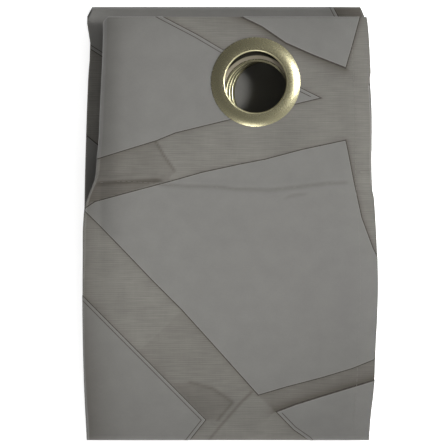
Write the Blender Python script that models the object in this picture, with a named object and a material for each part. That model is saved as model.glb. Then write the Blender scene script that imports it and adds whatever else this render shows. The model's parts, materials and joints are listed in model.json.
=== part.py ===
"""Eyelet curtain panel, pleated across its width and folded down to a flat pack.

Metres, +Z up. The pack lies on its underside: the header and the eyelets are on the top leaf, at the +Y end,
and +X points to the side where the two side edges of the panel lie. The origin is under the pack's middle.
The panel is one cloth. It is split here at its folds, because every fold is a hinge: a leaf is the length of
panel between two cross folds, pleated PLEATS times, and each leaf hangs on the fold that joins it to the leaf
above. The top leaf carries the header band, which stays open between the plies so that the eyelets fit.
"""

import math

import bmesh
import bpy

# Panel, laid out flat
PANEL_WIDTH = 1.400
PANEL_DROP = 2.250
PLEATS = 8
LEAVES = 8
HEADER_HEIGHT = 0.110
SIDE_HEM_WIDTH = 0.013
BOTTOM_HEM_HEIGHT = 0.060

# Cloth
PLY_PITCH = 0.0004
HEM_LAYERS = 2
HEADER_CLOTH = 0.00035
HEADER_TAPE = 0.00040

# Folded pack
PLEAT_DRIFT = 0.015
HEADER_EDGE_INSET = 0.00325
HEADER_SETBACK = 0.008
HEM_SETBACK = 0.034
FRONT_LEAF_SAG = 1.8
SAG_STATIONS = 12

# Eyelets
EYELET_BORE_RADIUS = 0.020
EYELET_FLANGE_WIDTH = 0.00925
EYELET_NECK_WALL = 0.0012
EYELET_FRONT_HEIGHT = 0.0018
EYELET_BACK_HEIGHT = 0.0009
EYELET_RIM = 0.0004
FRONT_DOME_INNER_SHARE = 0.6
BACK_DOME_INNER_SHARE = 0.5
EYELET_TO_TOP_EDGE = 0.0427
EYELET_TO_SIDE_EDGE = 0.0750
EYELET_SLIP_ACROSS = 0.0009
EYELET_SLIP_DOWN = 0.0065

# Clearances and mesh fineness
GAP = 0.0003
LAYER_GAP = 0.00025
NECK_CLEARANCE = 0.0005
RING_SEGMENTS = 24
RING_DOME_STEPS = 4
FOLD_STEPS = 8
CUT_MARGIN = 0.0003
SHARP_ANGLE = math.radians(50)

# Worked out from the values above
PLEAT_WIDTH = PANEL_WIDTH / PLEATS
LEAF_WIDTH = PLEAT_WIDTH + PLEAT_DRIFT
LEAF_LENGTH = (PANEL_DROP + HEADER_SETBACK + HEM_SETBACK) / LEAVES
LEAF_PITCH = PLEATS * PLY_PITCH
LEAF_THICKNESS = LEAF_PITCH - GAP
HEM_THICKNESS = HEM_LAYERS * PLY_PITCH
FOLD_Y = LEAF_LENGTH / 2
PACK_BASE = (LEAVES - 1) * LEAF_PITCH - GAP / 2
HEADER_TOP_Y = FOLD_Y - HEADER_SETBACK
HEADER_LOW_Y = HEADER_TOP_Y - HEADER_HEIGHT
BAND = 2 * HEADER_CLOTH + 2 * LAYER_GAP + HEADER_TAPE
BACK_TO_BACK = BAND + 2 * (LAYER_GAP + EYELET_BACK_HEIGHT) + GAP
FACE_TO_FACE = BAND + 2 * (LAYER_GAP + EYELET_FRONT_HEIGHT) + GAP
HEADER_RIGHT_X = LEAF_WIDTH / 2 - HEADER_EDGE_INSET
HEADER_LEFT_X = HEADER_RIGHT_X - PLEAT_WIDTH
EYELET_OUTER_RADIUS = EYELET_BORE_RADIUS + EYELET_FLANGE_WIDTH
EYELET_NECK_RADIUS = EYELET_BORE_RADIUS + EYELET_NECK_WALL
EYELET_X = HEADER_RIGHT_X - EYELET_TO_SIDE_EDGE
EYELET_Y = HEADER_TOP_Y - EYELET_TO_TOP_EDGE


def clear_scene():
    for obj in list(bpy.data.objects):
        bpy.data.objects.remove(obj)


def make_material(name, colour, roughness, metallic):
    material = bpy.data.materials.new(name)
    material.use_nodes = True
    shader = material.node_tree.nodes["Principled BSDF"]
    shader.inputs["Base Color"].default_value = (*colour, 1.0)
    shader.inputs["Roughness"].default_value = roughness
    shader.inputs["Metallic"].default_value = metallic
    return material


def make_object(name, bm, material, parent):
    bmesh.ops.recalc_face_normals(bm, faces=bm.faces)
    mesh = bpy.data.meshes.new(name)
    bm.to_mesh(mesh)
    bm.free()
    mesh.materials.append(material)
    obj = bpy.data.objects.new(name, mesh)
    bpy.context.scene.collection.objects.link(obj)
    obj.parent = parent
    return obj


def make_empty(name, location, parent):
    """An empty at a place given in the pack's frame."""
    empty = bpy.data.objects.new(name, None)
    bpy.context.scene.collection.objects.link(empty)
    empty.parent = parent
    offset = parent["place"] if parent else (0.0, 0.0, 0.0)
    empty.location = [a - b for a, b in zip(location, offset)]
    empty["place"] = location
    return empty


def loft(sections):
    """One closed body through closed loops that all have the same number of points."""
    bm = bmesh.new()
    loops = [[bm.verts.new(point) for point in section] for section in sections]
    for loop, following in zip(loops, loops[1:]):
        for i in range(len(loop)):
            j = (i + 1) % len(loop)
            bm.faces.new((loop[i], loop[j], following[j], following[i]))
    bm.faces.new(loops[0])
    bm.faces.new(loops[-1])
    return bm


def revolve(profile):
    """A turned ring from a closed outline of (radius, height) points."""
    bm = bmesh.new()
    turns = []
    for step in range(RING_SEGMENTS):
        angle = 2 * math.pi * step / RING_SEGMENTS
        turn = [bm.verts.new((r * math.cos(angle), r * math.sin(angle), z)) for r, z in profile]
        turns.append(turn)
    for turn, following in zip(turns, turns[1:] + turns[:1]):
        for i in range(len(profile)):
            j = (i + 1) % len(profile)
            bm.faces.new((turn[i], turn[j], following[j], following[i]))
    return bm


# Leaves ------------------------------------------------------------------------------------------------


def front_leaf_rise(y):
    """Height of the top leaf above its underside: thin at its fold, as high as the header at the header."""
    run = (HEADER_LOW_Y - y) / (HEADER_LOW_Y + FOLD_Y)
    return LEAF_THICKNESS + (header_rise() - LEAF_THICKNESS) * (1 - run) ** FRONT_LEAF_SAG


def leaf_section(y, low, high):
    """The leaf's outline at one y: full height, and stepped where the side hems lie on it and under it."""
    left = -LEAF_WIDTH / 2
    right = LEAF_WIDTH / 2
    step = right - SIDE_HEM_WIDTH - GAP
    tongue_low = low + HEM_THICKNESS + GAP
    tongue_high = high - HEM_THICKNESS - GAP
    corners = [(left, low), (step, low), (step, tongue_low), (right, tongue_low)]
    corners += [(right, tongue_high), (step, tongue_high), (step, high), (left, high)]
    return [(x, y, z) for x, z in corners]


def hem_section(y, low):
    right = LEAF_WIDTH / 2
    left = right - SIDE_HEM_WIDTH
    high = low + HEM_THICKNESS
    return [(left, y, low), (right, y, low), (right, y, high), (left, y, high)]


def build_folded_leaf(number, fold, materials):
    """A leaf below the top one, with its two side hems. Its origin is on the fold that it hangs on."""
    towards = 1 if number % 2 == 0 else -1
    near = towards * GAP / 2
    far = towards * (LEAF_LENGTH - GAP / 2)
    high = -GAP / 2
    low = high - LEAF_THICKNESS
    if number == LEAVES:
        edge = towards * (LEAF_LENGTH - HEM_SETBACK)
        far = edge - towards * (BOTTOM_HEM_HEIGHT + GAP)
        hem = [block_section(y, low, high) for y in (far + towards * GAP, edge)]
        make_object("bottom_hem", loft(hem), materials["hem"], fold)
    body = loft([leaf_section(y, low, high) for y in (near, far)])
    make_object(f"cloth_leaf_{number}", body, materials["cloth"], fold)
    upper = high - HEM_THICKNESS
    front_low, back_low = (upper, low) if number % 2 else (low, upper)
    for edge_name, hem_low in (("front", front_low), ("back", back_low)):
        strip = loft([hem_section(y, hem_low) for y in (near, far)])
        make_object(f"side_hem_{edge_name}_{number}", strip, materials["hem"], fold)


def block_section(y, low, high):
    half = LEAF_WIDTH / 2
    return [(-half, y, low), (half, y, low), (half, y, high), (-half, y, high)]


def build_front_leaf(base, materials):
    """The top leaf up to its header: its plies fan out from the fold to the height of the stacked eyelets."""
    start = -FOLD_Y + GAP / 2
    end = HEADER_LOW_Y - GAP
    stations = [start + (end - start) * i / SAG_STATIONS for i in range(SAG_STATIONS + 1)]
    low = GAP / 2
    body = loft([leaf_section(y, low, low + front_leaf_rise(y)) for y in stations])
    make_object("cloth_leaf_1", body, materials["cloth"], base)
    top_hem = loft([hem_section(y, low + front_leaf_rise(y) - HEM_THICKNESS) for y in stations])
    make_object("side_hem_front_1", top_hem, materials["hem"], base)
    under_hem = loft([hem_section(y, low) for y in (start, end)])
    make_object("side_hem_back_1", under_hem, materials["hem"], base)


# Header band -------------------------------------------------------------------------------------------


def ply_height(ply):
    """Middle of the header band of one ply, above the top leaf's underside. Ply 1 is the top one."""
    height = GAP / 2 + LAYER_GAP + EYELET_FRONT_HEIGHT + BAND / 2
    for above in range(PLEATS, ply, -1):
        height += BACK_TO_BACK if above % 2 == 0 else FACE_TO_FACE
    return height


def header_rise():
    """Top of the header's cloth, above the leaf's lowest face."""
    return ply_height(1) + BAND / 2 - GAP / 2


def fold_points(ply):
    """The half turn from one ply to the next one down, as (x, z, normal x, normal z)."""
    radius = (ply_height(ply) - ply_height(ply + 1)) / 2
    middle = ply_height(ply + 1) + radius
    leftward = ply % 2 == 1
    side = -1 if leftward else 1
    centre = HEADER_LEFT_X + radius if leftward else HEADER_RIGHT_X - radius
    outward = 1 if leftward else -1
    points = []
    for step in range(FOLD_STEPS + 1):
        angle = math.pi / 2 - math.pi * step / FOLD_STEPS
        across = side * math.cos(angle)
        up = math.sin(angle)
        points.append((centre + radius * across, middle + radius * up, outward * across, outward * up))
    return points


def band_path():
    """The header's middle line, from the free edge of ply 1 to the free edge of the last ply."""
    path = [(HEADER_RIGHT_X, ply_height(1), 0.0, 1.0)]
    for ply in range(1, PLEATS):
        path += fold_points(ply)
    facing = 1.0 if PLEATS % 2 else -1.0
    last_x = HEADER_LEFT_X if PLEATS % 2 else HEADER_RIGHT_X
    path.append((last_x, ply_height(PLEATS), 0.0, facing))
    return path


def sweep_band(outline):
    """Sweeps an outline of (offset to the front, y) points along the header's middle line."""
    sections = []
    for x, z, across, up in band_path():
        sections.append([(x + offset * across, y, z + offset * up) for offset, y in outline])
    return loft(sections)


def eyelet_place(ply):
    """Centre of the eyelet of one ply: the plies under the top one have slipped a little."""
    x = EYELET_X + EYELET_SLIP_ACROSS * (ply - 1)
    y = EYELET_Y - (EYELET_SLIP_DOWN if ply > 1 else 0.0)
    return x, y, ply_height(ply)


def make_hole_cutter(base):
    """One short cylinder through each ply, where its eyelet sits."""
    bm = bmesh.new()
    radius = (EYELET_NECK_RADIUS + NECK_CLEARANCE) / math.cos(math.pi / RING_SEGMENTS)
    depth = BAND + 2 * CUT_MARGIN
    for ply in range(1, PLEATS + 1):
        made = bmesh.ops.create_cone(
            bm, cap_ends=True, segments=RING_SEGMENTS, radius1=radius, radius2=radius, depth=depth)
        bmesh.ops.translate(bm, verts=made["verts"], vec=eyelet_place(ply))
    cutter = make_object("eyelet_holes", bm, bpy.data.materials["header_tape"], base)
    cutter.hide_render = True
    cutter.display_type = "WIRE"
    return cutter


def cut_holes(obj, cutter):
    modifier = obj.modifiers.new("eyelet holes", "BOOLEAN")
    modifier.operation = "DIFFERENCE"
    modifier.solver = "EXACT"
    modifier.object = cutter


def build_header(base, materials):
    """The header: the cloth goes up the front, over the top edge and down the back, round a stiff tape."""
    outer = BAND / 2
    inner = outer - HEADER_CLOTH
    turn = HEADER_TOP_Y - HEADER_CLOTH
    cloth = [(outer, HEADER_LOW_Y), (outer, HEADER_TOP_Y), (-outer, HEADER_TOP_Y), (-outer, HEADER_LOW_Y)]
    cloth += [(-inner, HEADER_LOW_Y), (-inner, turn), (inner, turn), (inner, HEADER_LOW_Y)]
    half = HEADER_TAPE / 2
    tape_top = turn - LAYER_GAP
    tape = [(half, HEADER_LOW_Y), (half, tape_top), (-half, tape_top), (-half, HEADER_LOW_Y)]
    cutter = make_hole_cutter(base)
    cut_holes(make_object("header_cloth", sweep_band(cloth), materials["cloth"], base), cutter)
    cut_holes(make_object("header_tape", sweep_band(tape), materials["tape"], base), cutter)


# Eyelets -----------------------------------------------------------------------------------------------


def dome(inner, outer, foot, height, inner_share):
    """A low arch from the outer radius to the inner one, with its ends held down."""
    points = []
    for step in range(RING_DOME_STEPS + 1):
        share = step / RING_DOME_STEPS
        low = EYELET_RIM + (inner_share * height - EYELET_RIM) * share
        arch = (height - low) * math.sin(math.pi * share)
        points.append((outer + (inner - outer) * share, foot + low + arch))
    return points


def front_ring_profile():
    foot = BAND / 2 + LAYER_GAP
    neck_end = -(foot + EYELET_BACK_HEIGHT)
    profile = [(EYELET_NECK_RADIUS, foot), (EYELET_OUTER_RADIUS, foot)]
    share = FRONT_DOME_INNER_SHARE
    profile += dome(EYELET_BORE_RADIUS, EYELET_OUTER_RADIUS, foot, EYELET_FRONT_HEIGHT, share)
    profile += [(EYELET_BORE_RADIUS, neck_end), (EYELET_NECK_RADIUS, neck_end)]
    return profile


def back_ring_profile():
    foot = BAND / 2 + LAYER_GAP
    inner = (EYELET_NECK_RADIUS + NECK_CLEARANCE) / math.cos(math.pi / RING_SEGMENTS)
    arch = dome(inner, EYELET_OUTER_RADIUS, foot, EYELET_BACK_HEIGHT, BACK_DOME_INNER_SHARE)
    profile = [(inner, foot), (EYELET_OUTER_RADIUS, foot)] + arch
    return [(radius, -height) for radius, height in profile]


def build_eyelets(base, materials):
    """A front ring with a neck through the header and a back ring round the neck, for every ply."""
    for ply in range(1, PLEATS + 1):
        for side, profile in (("front", front_ring_profile()), ("back", back_ring_profile())):
            ring = make_object(f"eyelet_{side}_{ply}", revolve(profile), materials["eyelet"], base)
            ring.location = eyelet_place(ply)
            ring.rotation_euler.x = 0.0 if ply % 2 else math.pi
            ring.data.shade_smooth()
            ring.data.set_sharp_from_angle(angle=SHARP_ANGLE)


def main():
    clear_scene()
    materials = {
        "cloth": make_material("curtain_cloth", (0.24, 0.24, 0.22), 0.85, 0.0),
        "hem": make_material("hem_cloth", (0.22, 0.22, 0.20), 0.85, 0.0),
        "tape": make_material("header_tape", (0.55, 0.54, 0.50), 0.90, 0.0),
        "eyelet": make_material("eyelet_metal", (0.52, 0.48, 0.36), 0.30, 1.0),
    }
    base = make_empty("top_leaf_base", (0.0, 0.0, PACK_BASE), None)
    build_front_leaf(base, materials)
    build_header(base, materials)
    build_eyelets(base, materials)
    holder = base
    for number in range(2, LEAVES + 1):
        fold_y = -FOLD_Y if number % 2 == 0 else FOLD_Y
        fold_z = PACK_BASE - (number - 2) * LEAF_PITCH
        holder = make_empty(f"fold_{number - 1}", (0.0, fold_y, fold_z), holder)
        build_folded_leaf(number, holder, materials)


main()
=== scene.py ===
"""Looks of the folded eyelet curtain panel: pleated and folded cloth, header, eyelets and stitching."""
import json
import math
from collections import namedtuple

import bmesh
import bpy
import numpy as np
from bpy.props import FloatProperty, FloatVectorProperty, IntProperty, PointerProperty
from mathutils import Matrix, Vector

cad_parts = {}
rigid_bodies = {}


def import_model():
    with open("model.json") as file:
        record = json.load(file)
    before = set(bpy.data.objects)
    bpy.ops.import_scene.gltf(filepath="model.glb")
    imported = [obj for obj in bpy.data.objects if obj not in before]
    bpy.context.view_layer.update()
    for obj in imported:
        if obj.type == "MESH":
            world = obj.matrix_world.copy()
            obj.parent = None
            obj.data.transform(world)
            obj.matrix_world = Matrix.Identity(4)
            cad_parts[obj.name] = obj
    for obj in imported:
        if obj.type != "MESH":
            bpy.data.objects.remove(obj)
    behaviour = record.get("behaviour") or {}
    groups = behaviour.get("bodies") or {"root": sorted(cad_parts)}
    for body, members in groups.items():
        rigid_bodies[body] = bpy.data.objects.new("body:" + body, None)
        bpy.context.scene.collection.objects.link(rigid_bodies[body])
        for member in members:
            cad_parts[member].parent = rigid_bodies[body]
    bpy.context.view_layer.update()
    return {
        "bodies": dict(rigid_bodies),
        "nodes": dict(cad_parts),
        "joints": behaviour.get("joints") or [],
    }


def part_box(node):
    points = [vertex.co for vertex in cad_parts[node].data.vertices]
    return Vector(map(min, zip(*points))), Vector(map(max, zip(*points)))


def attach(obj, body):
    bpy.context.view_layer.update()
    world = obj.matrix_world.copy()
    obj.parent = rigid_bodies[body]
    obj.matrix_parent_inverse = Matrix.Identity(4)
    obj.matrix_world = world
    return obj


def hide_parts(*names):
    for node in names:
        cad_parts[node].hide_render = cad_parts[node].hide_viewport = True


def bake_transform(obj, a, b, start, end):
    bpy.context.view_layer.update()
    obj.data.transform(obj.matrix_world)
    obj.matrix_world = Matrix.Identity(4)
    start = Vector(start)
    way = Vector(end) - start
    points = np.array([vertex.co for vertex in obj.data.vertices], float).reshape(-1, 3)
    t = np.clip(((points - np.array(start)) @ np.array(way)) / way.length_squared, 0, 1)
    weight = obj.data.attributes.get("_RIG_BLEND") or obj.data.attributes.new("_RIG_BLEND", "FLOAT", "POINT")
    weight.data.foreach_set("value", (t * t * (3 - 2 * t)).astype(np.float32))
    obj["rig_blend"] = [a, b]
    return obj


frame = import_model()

bl_info = {
    "name": "Folded eyelet curtain panel",
    "version": (1, 0, 0),
    "blender": (4, 5, 0),
    "location": "3D View > Sidebar > Curtain",
    "description": "Builds a pleated and folded curtain panel with its header, eyelets and stitching",
    "category": "Add Mesh",
}

# The frame ---------------------------------------------------------------------------------------

LEAVES = len(frame["bodies"])
PLEATS = sum(name.startswith("eyelet_front_") for name in frame["nodes"])
JOINT_Z = {joint["child"]: joint["pos_m"][2] for joint in frame["joints"]}
FOLD_Z = {leaf: JOINT_Z[f"leaf_{leaf + 1}"] for leaf in range(1, LEAVES)}
FOLD_Y = abs(frame["joints"][0]["pos_m"][1])
LEAF_PITCH = FOLD_Z[1] - FOLD_Z[2]
PLY_PITCH = LEAF_PITCH / PLEATS
TOP_LEAF_BASE = FOLD_Z[1]
HEADER_LOW_Y, HEADER_TOP_Y = (corner.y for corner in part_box("header_cloth"))
HEM_START_Y, HEM_END_Y = (corner.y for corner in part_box("bottom_hem"))
CLOTH_HOLE_RADIUS = 0.0214
TAPE_THICKNESS = 0.0004
HALF_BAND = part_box("header_cloth")[1].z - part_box("header_tape")[1].z + TAPE_THICKNESS / 2
TOP_BAND_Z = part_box("header_cloth")[1].z - HALF_BAND
RING_FOOT = TOP_BAND_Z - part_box("eyelet_back_1")[1].z
PLEAT_WIDTH = 0.175
PANEL_WIDTH = PLEATS * PLEAT_WIDTH
HEM_DROP = 0.00025
HEM_WIDTH = 0.013
TAPE_INSET = 0.0065
TAPE_TOP_INSET = 0.0012
MM = 0.001
# Bends are drawn between these angles of their half turn, and the flat cloth beside them makes up the rest.
LOOP_START, LOOP_END = math.pi / 10, math.pi * 9 / 10


def band_height(ply):
    """Middle of one ply's header band."""
    low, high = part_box(f"eyelet_back_{ply}")
    return high.z + RING_FOOT if ply % 2 else low.z - RING_FOOT


def eyelet_centre(ply):
    low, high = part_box(f"eyelet_front_{ply}")
    return (low.x + high.x) / 2, (low.y + high.y) / 2


BAND_Z = {ply: band_height(ply) for ply in range(1, PLEATS + 1)}
EYELETS = {ply: eyelet_centre(ply) for ply in range(1, PLEATS + 1)}

# Outlines of the pack, as (y, x) in millimetres --------------------------------------------------

FLAP_LEFT = (
    (-143, -94.5), (-100, -96.3), (-60, -97), (-20, -96.8), (4, -96.4), (11, -95.8), (17, -94.4),
    (24, -91.8), (31, -89.0), (42, -87.6), (55, -86.3), (81, -85), (108, -83.7), (131, -83), (136, -83),
)
PACK_LEFT = (
    (-143, -94.5), (-100, -96.3), (-60, -97), (-20, -96.6), (15, -96.2), (62, -94.9),
    (95, -93.6), (122, -92.5), (131, -94), (139, -94), (143.5, -91.5),
)
PACK_RIGHT = (
    (-143, 91.6), (-126, 92.9), (-106, 94.9), (-83, 95.7), (-57, 96.9), (-40, 97.2), (-11, 96.2),
    (29, 93.8), (78, 93.4), (95, 92.3), (120, 91), (129, 90.3), (137, 89), (143.5, 86.5),
)
# How far each side fold sits inside the outline, and how far it sways: odd ones are on the left.
FOLD_INSETS = {0: 0.0, 1: 0.0, 2: 4.0, 3: 5.0, 4: 7.0, 5: 3.0, 6: 2.5, 7: 0.4, 8: 0.3}
FOLD_SWAYS = {0: 0.4, 1: 0.4, 2: 1.4, 3: 1.4, 4: 1.4, 5: 1.4, 6: 1.4, 7: 0.4, 8: 0.3}
EYELET_SLIP = EYELETS[1][1] - EYELETS[2][1]

# The woven blocks. Each corner is (x, distance from the header's top edge, style of the side that starts
# there) in millimetres: "s" a fine dark line, "d" two lines, "h" a thick side that shades the ground, "w" a
# wide dark line.

FRONT_BLOCKS = (
    ((-100, -8, "s"), (-58.4, -8, "d"), (-21.5, 11.3, "d"), (-4.6, 21.3, "d"), (60.6, 53.3, "s"),
     (-2.6, 68.3, "s"), (-35.6, 76.3, "s"), (-47.8, 81.3, "s"), (-85.7, 92.9, "s"), (-100, 97, "s")),
    ((-10.5, -8, "h"), (20.4, 6.9, "h"), (36.2, 17.7, "h"), (54, 25.6, "h"), (75.8, 34.1, "w"),
     (80.7, 17.3, "w"), (87.6, -8, "s")),
    ((-97, 126, "s"), (-88.8, 120.5, "s"), (-66.6, 114.5, "s"), (-38.2, 107, "s"), (-18.5, 101.4, "s"),
     (5.9, 96.1, "s"), (23, 92.8, "s"), (46.8, 86.5, "s"), (75.8, 80.3, "w"), (77.3, 86.9, "w"),
     (81.4, 107.7, "w"), (86.7, 131.2, "w"), (94.2, 151.3, "w"), (100, 163, "s"), (100, 223.5, "s"),
     (95.6, 224.9, "s"), (80.7, 230.9, "s"), (60.5, 237, "s"), (37.6, 243, "s"), (18.5, 248.6, "s"),
     (6.6, 235.3, "s"), (-4.6, 222.7, "s"), (-18.2, 207.5, "s"), (-31.6, 192.6, "s"), (-51.8, 172.3, "s"),
     (-71.8, 151.3, "s"), (-86.7, 136, "s")),
    ((-110, 169, "d"), (-60, 219.5, "d"), (-15.5, 264.5, "d"), (-26.2, 278, "d"), (-60, 320, "s"),
     (-110, 383, "s")),
    ((29.7, 258.9, "h"), (43, 253.8, "h"), (60.5, 248.3, "h"), (110, 233.3, "s"), (110, 341, "d"),
     (51.4, 278, "d"), (41.7, 271.3, "d")),
)
BACK_BLOCKS = (
    ((-110, 547.9, "d"), (101.5, 413.5, "s"), (101.5, 500, "d"), (72, 557.6, "d"), (63.5, 574, "s"),
     (20, 600, "s"), (-110, 640, "s")),
    ((-110, 492.9, "s"), (-20, 419, "s"), (-60, 302, "s"), (-110, 302, "s")),
)
# Where a second thickness of ground shows through as a darker area: outlines and depth of shade.
VEILS = (
    (0.30, ((-110, 99.5), (-85.7, 92.9), (-48.8, 80.9), (-36.2, 100.7), (-40, 106.4), (-66.6, 114.5),
            (-88.8, 120.5), (-110, 128))),
    (0.30, ((-110, 110), (-88, 108.5), (-43, 106.8), (-66.6, 114.5), (-88.8, 120.5), (-110, 128))),
    (0.30, ((18.5, 248.6), (37.6, 243), (60.5, 237), (80.7, 230.9), (110, 219), (110, 233.3),
            (60.5, 248.3), (43, 253.8), (29.7, 258.9))),
    (0.26, ((-38.2, 240.4), (-26.4, 239.7), (-11.2, 243.7), (2, 252.9), (-7.9, 264.8), (-15.2, 264.1))),
    (0.15, ((-60, 219.5), (-31.6, 192.6), (18.5, 248.6), (7.7, 252.7), (-7.7, 270.3), (-15.5, 264.5))),
)
BACK_VEILS = (
    (0.80, ((40, 535), (110, 535), (110, 590), (40, 590))),
)
GHOST_LINES = (
    (0.55, ((-48.8, 80.9), (-42.8, 91.4), (-36.2, 100.7))),
    (0.60, ((14.3, 246.1), (7.7, 252.7), (-7.7, 270.3), (-14, 278))),
    (0.45, ((-26.4, 239.7), (-11.2, 243.7), (2, 252.9), (-7.9, 264.8))),
)


def generated_blocks(first, last, seed):
    """Large slanting blocks down the rest of a strip, in millimetres."""
    draw = np.random.default_rng(seed)
    blocks = []
    at = first
    while at < last:
        tall = draw.uniform(120, 190)
        lean = draw.uniform(25, 60) * (1 if len(blocks) % 2 else -1)
        left = -110.0 if len(blocks) % 3 else -55.0
        right = 110.0 if len(blocks) % 3 != 1 else draw.uniform(40, 75)
        middle = draw.uniform(-40, 40)
        blocks.append((
            (left, at + abs(lean), "s"), (right, at + abs(lean) - lean, "d"), (right, at + tall, "s"),
            (middle, at + tall + 45, "s"), (left, at + tall - 20, "s")))
        at += tall + 75 + abs(lean)
    return tuple(blocks)


FRONT_PATTERN = FRONT_BLOCKS + generated_blocks(400, 2200, 11)
BACK_PATTERN = BACK_BLOCKS + generated_blocks(20, 230, 12) + generated_blocks(690, 2200, 13)

# Small curves and helpers ------------------------------------------------------------------------


def smooth_line(points):
    """A smooth function through (place, value) points given in millimetres; it works in metres."""
    place, value = np.array(points).T * MM
    slope = np.gradient(value, place)

    def at(where):
        i = int(np.clip(np.searchsorted(place, where) - 1, 0, len(place) - 2))
        span = place[i + 1] - place[i]
        t = min(max((where - place[i]) / span, 0.0), 1.0)
        low = (2 * t ** 3 - 3 * t ** 2 + 1) * value[i] + (t ** 3 - 2 * t ** 2 + t) * span * slope[i]
        high = (3 * t ** 2 - 2 * t ** 3) * value[i + 1] + (t ** 3 - t ** 2) * span * slope[i + 1]
        return low + high

    return at


flap_left = smooth_line(FLAP_LEFT)
pack_left = smooth_line(PACK_LEFT)
pack_right = smooth_line(PACK_RIGHT)


def ease(value, start, end):
    """0 before start, 1 after end, smooth between."""
    t = np.clip((value - start) / (end - start), 0.0, 1.0)
    return t * t * (3 - 2 * t)


def linear_colour(red, green, blue):
    """A display colour of 0 to 255 as scene-linear values."""
    channels = [c / 255 for c in (red, green, blue)]
    return tuple(c / 12.92 if c <= 0.04045 else ((c + 0.055) / 1.055) ** 2.4 for c in channels)


def drop_at(leaf, y):
    """Distance down the panel from the header's top edge, at one y on a leaf."""
    if leaf == 1:
        return HEADER_TOP_Y - y
    start = HEADER_TOP_Y + FOLD_Y + (leaf - 2) * 2 * FOLD_Y
    return start + (y + FOLD_Y if leaf % 2 == 0 else FOLD_Y - y)


def y_at(leaf, drop):
    """The other way round: where on a leaf a distance down the panel lies."""
    if leaf == 1:
        return HEADER_TOP_Y - drop
    start = HEADER_TOP_Y + FOLD_Y + (leaf - 2) * 2 * FOLD_Y
    return drop - start - FOLD_Y if leaf % 2 == 0 else start + FOLD_Y - drop


# The folded cloth --------------------------------------------------------------------------------


def leaf_base(leaf):
    return FOLD_Z[leaf] if leaf < LEAVES else 0.0


def fan_share(y):
    """How far the top leaf's plies have spread from the pack's pitch to the header's, at one y."""
    run = (HEADER_LOW_Y - y) / (HEADER_LOW_Y + FOLD_Y)
    return float(np.clip(1 - run, 0.0, 1.0)) ** 1.8


def ply_levels(leaf, y, layer):
    """Heights of all plies. layer is 1 on the front of the header band and -1 on its turned-down back."""
    levels = {}
    for ply in range(1, PLEATS + 1):
        steps = PLEATS - ply + 0.5 if leaf % 2 else ply - 0.5
        level = leaf_base(leaf) + steps * PLY_PITCH
        if leaf == 1:
            facing = 1 if ply % 2 else -1
            header = BAND_Z[ply] + layer * HALF_BAND * facing
            level += (header - level) * (fan_share(y) if y < HEADER_LOW_Y else 1.0)
        levels[ply] = level
    return levels


def side_folds(leaf, y, drop, layer):
    """x of each side fold and free edge: odd ones on the left, even ones on the right."""
    left = flap_left(y) if leaf == 1 else pack_left(y)
    right = pack_right(y)
    places = {}
    for number, inset in FOLD_INSETS.items():
        sway = 1 + math.sin(2 * math.pi * drop / (0.31 + 0.043 * number) + 1.7 * number)
        if number < 2:
            sway *= float(ease(drop, 0.27, 0.40))
        inward = (inset + FOLD_SWAYS[number] * sway) * MM
        if number == 0 and leaf == 1:
            inward += 0.0022 * float(ease(y, 0.015, 0.030) * (1 - ease(y, 0.088, 0.100)))
        band = HALF_BAND * (1 - layer) if leaf == 1 else 0.0
        free = number in (0, PLEATS)
        places[number] = left + inward + band if number % 2 else right - inward + (0 if free else band)
    return places


# A place across the pleated cloth that a piece has points at. Its kind is "ply", "loop" for the bend between
# two plies, "hem" for the hidden layer of a side hem, or "turn" for the bend round a free edge. "at" is a
# share of the way on a ply or hem and an angle on a bend, and "across" is its place on the flat panel.
Column = namedtuple("Column", "kind index at across ply_number")


def hem_columns(ply, width):
    """The turned side edge: its hidden layer and the turn round the free edge."""
    places = [("hem", step / 5) for step in range(5)]
    places += [("turn", math.pi * (1 - step / 4)) for step in range(4)]
    columns = []
    for kind, at in places if ply == 1 else reversed(places):
        beyond = -(1 - at) * width if kind == "hem" else 0.0
        columns.append(Column(kind, ply, at, beyond if ply == 1 else PANEL_WIDTH - beyond, ply))
    return columns


def ply_columns(ply, spacing):
    steps = max(2, round(PLEAT_WIDTH / spacing))
    shares = [step / steps for step in range(steps + 1)]
    return [Column("ply", ply, share, (ply - 1 + share) * PLEAT_WIDTH, ply) for share in shares]


def loop_columns(number, first, last, steps):
    """Part of the loop between one ply and the next, between two angles of its half turn."""
    columns = []
    for step in range(steps + 1):
        angle = first + (last - first) * step / steps
        past_middle = angle > math.pi / 2 + 1e-6
        columns.append(Column("loop", number, angle, number * PLEAT_WIDTH, number + past_middle))
    return columns


def loop_at_end(number):
    """Half of a loop, up to its middle, where the piece ends."""
    return loop_columns(number, math.pi / 12, math.pi / 2, 5)


def loop_at_start(number):
    """Half of a loop, from its middle on, where the piece starts."""
    return loop_columns(number, math.pi / 2, math.pi * 11 / 12, 5)


def outer_columns(front, hem_width, spacing):
    """The front ply from its hem into the first loop, or the back ply from the last loop into its hem."""
    if front:
        return hem_columns(1, hem_width) + ply_columns(1, spacing) + loop_at_end(1)
    return loop_at_start(PLEATS - 1) + ply_columns(PLEATS, spacing) + hem_columns(PLEATS, hem_width)


def pleated_columns(first, last, spacing):
    """Whole plies with the loops between them."""
    columns = ply_columns(first, spacing)
    for ply in range(first + 1, last + 1):
        columns += loop_columns(ply - 1, LOOP_START, LOOP_END, 8) + ply_columns(ply, spacing)
    return columns


def inner_columns(spacing):
    return loop_at_start(1) + pleated_columns(2, PLEATS - 1, spacing) + loop_at_end(PLEATS - 1)


# Half the gap under which two plies count as close, and how far the loops then reach past them and swell.
CLOSE_HALF_GAP = 0.0002
LOOP_REACH = 0.0018
LOOP_SWELL = 0.0005


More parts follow.
